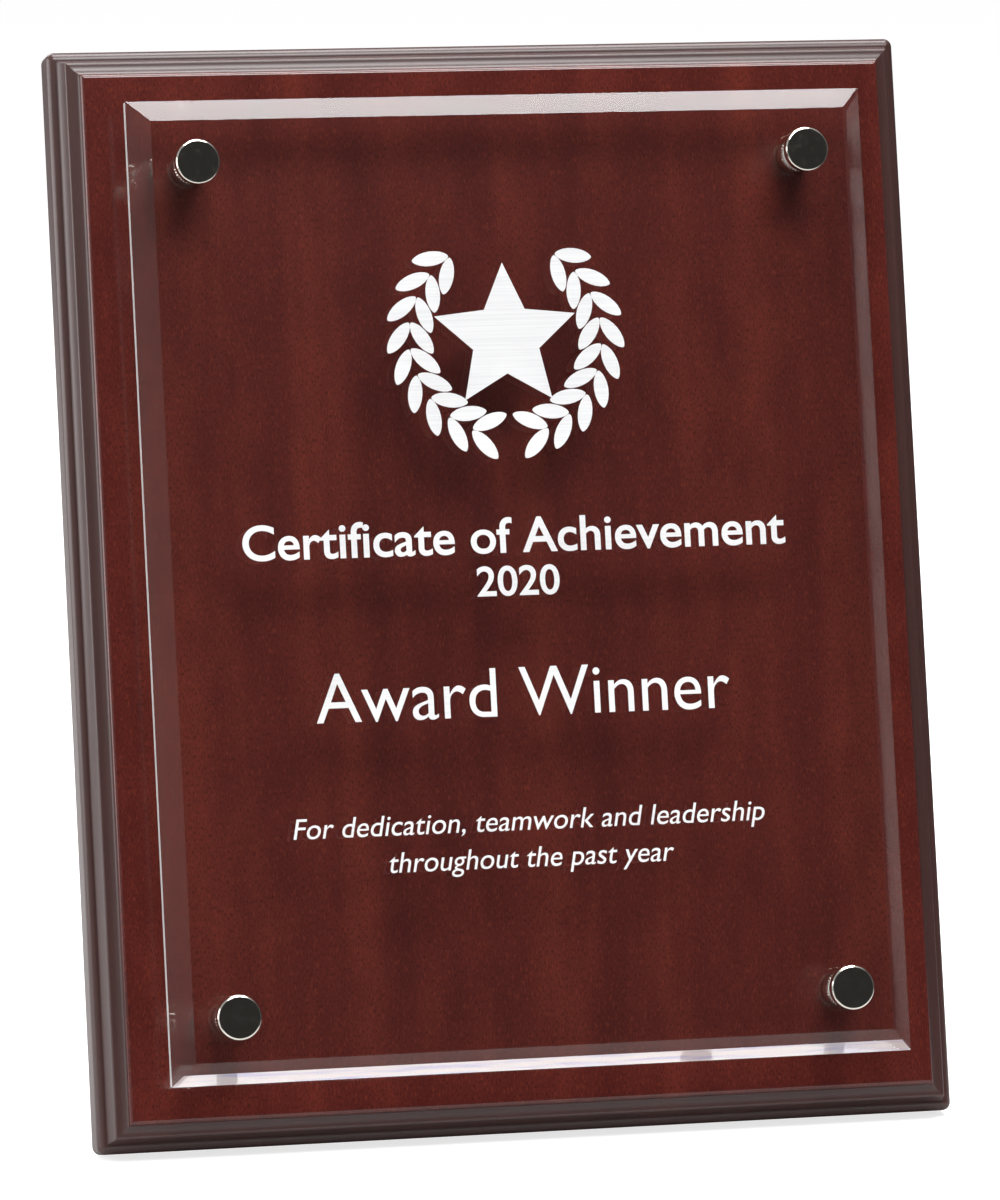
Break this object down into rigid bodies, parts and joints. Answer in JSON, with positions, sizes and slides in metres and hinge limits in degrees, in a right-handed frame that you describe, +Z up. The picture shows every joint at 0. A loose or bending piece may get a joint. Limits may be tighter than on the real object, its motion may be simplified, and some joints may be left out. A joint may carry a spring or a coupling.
{
  "type": "wooden plaque",
  "caption": "Award plaque: a clear bevelled plate on knurled stand-offs in front of a moulded wooden board, with a folding easel strut and a keyhole hanger behind.",
  "frame": {"origin": "on the table, under the middle of the bounding box of the plaque as it stands with its strut open", "axes": "+Z up, +X to the right of a viewer in front, the front faces -Y and leans back 13 degrees, the strut is behind at +Y"},
  "size_m": [0.2032, 0.116, 0.249],
  "materials": {
    "mahogany": "satin",
    "black_lacquer": "satin",
    "black_felt": "matt",
    "clear_plate": "clear and polished",
    "polished_nickel": "polished",
    "zinc_plate": "satin",
    "screw_steel": "satin",
    "clear_nylon": "translucent"
  },
  "bodies": {
    "plaque": {"backing_felt": "black_felt", "barrel_screw_bottom_left": "screw_steel", "barrel_screw_bottom_right": "screw_steel", "barrel_screw_top_left": "screw_steel", "barrel_screw_top_right": "screw_steel", "board": "mahogany", "display_plate": "clear_plate", "front_washer_bottom_left": "clear_nylon", "front_washer_bottom_right": "clear_nylon", "front_washer_top_left": "clear_nylon", "front_washer_top_right": "clear_nylon", "hinge_leaf_board": "zinc_plate", "hinge_pin": "zinc_plate", "hinge_screw_board_left": "screw_steel", "hinge_screw_board_right": "screw_steel", "keyhole_plate": "zinc_plate", "keyhole_screw_bottom": "screw_steel", "keyhole_screw_top": "screw_steel", "rear_washer_bottom_left": "clear_nylon", "rear_washer_bottom_right": "clear_nylon", "rear_washer_top_left": "clear_nylon", "rear_washer_top_right": "clear_nylon", "standoff_barrel_bottom_left": "polished_nickel", "standoff_barrel_bottom_right": "polished_nickel", "standoff_barrel_top_left": "polished_nickel", "standoff_barrel_top_right": "polished_nickel", "standoff_cap_bottom_left": "polished_nickel", "standoff_cap_bottom_right": "polished_nickel", "standoff_cap_top_left": "polished_nickel", "standoff_cap_top_right": "polished_nickel"},
    "strut": {"easel_strut": "black_lacquer", "hinge_leaf_strut": "zinc_plate", "hinge_screw_strut_left": "screw_steel", "hinge_screw_strut_right": "screw_steel"}
  },
  "joints": [
    {"name": "strut_fold", "type": "hinge", "parent": "plaque", "child": "strut", "pos_m": [0, 0.0049, 0.14567], "axis": [-1, 0, 0], "range_deg": [0, 30]}
  ]
}
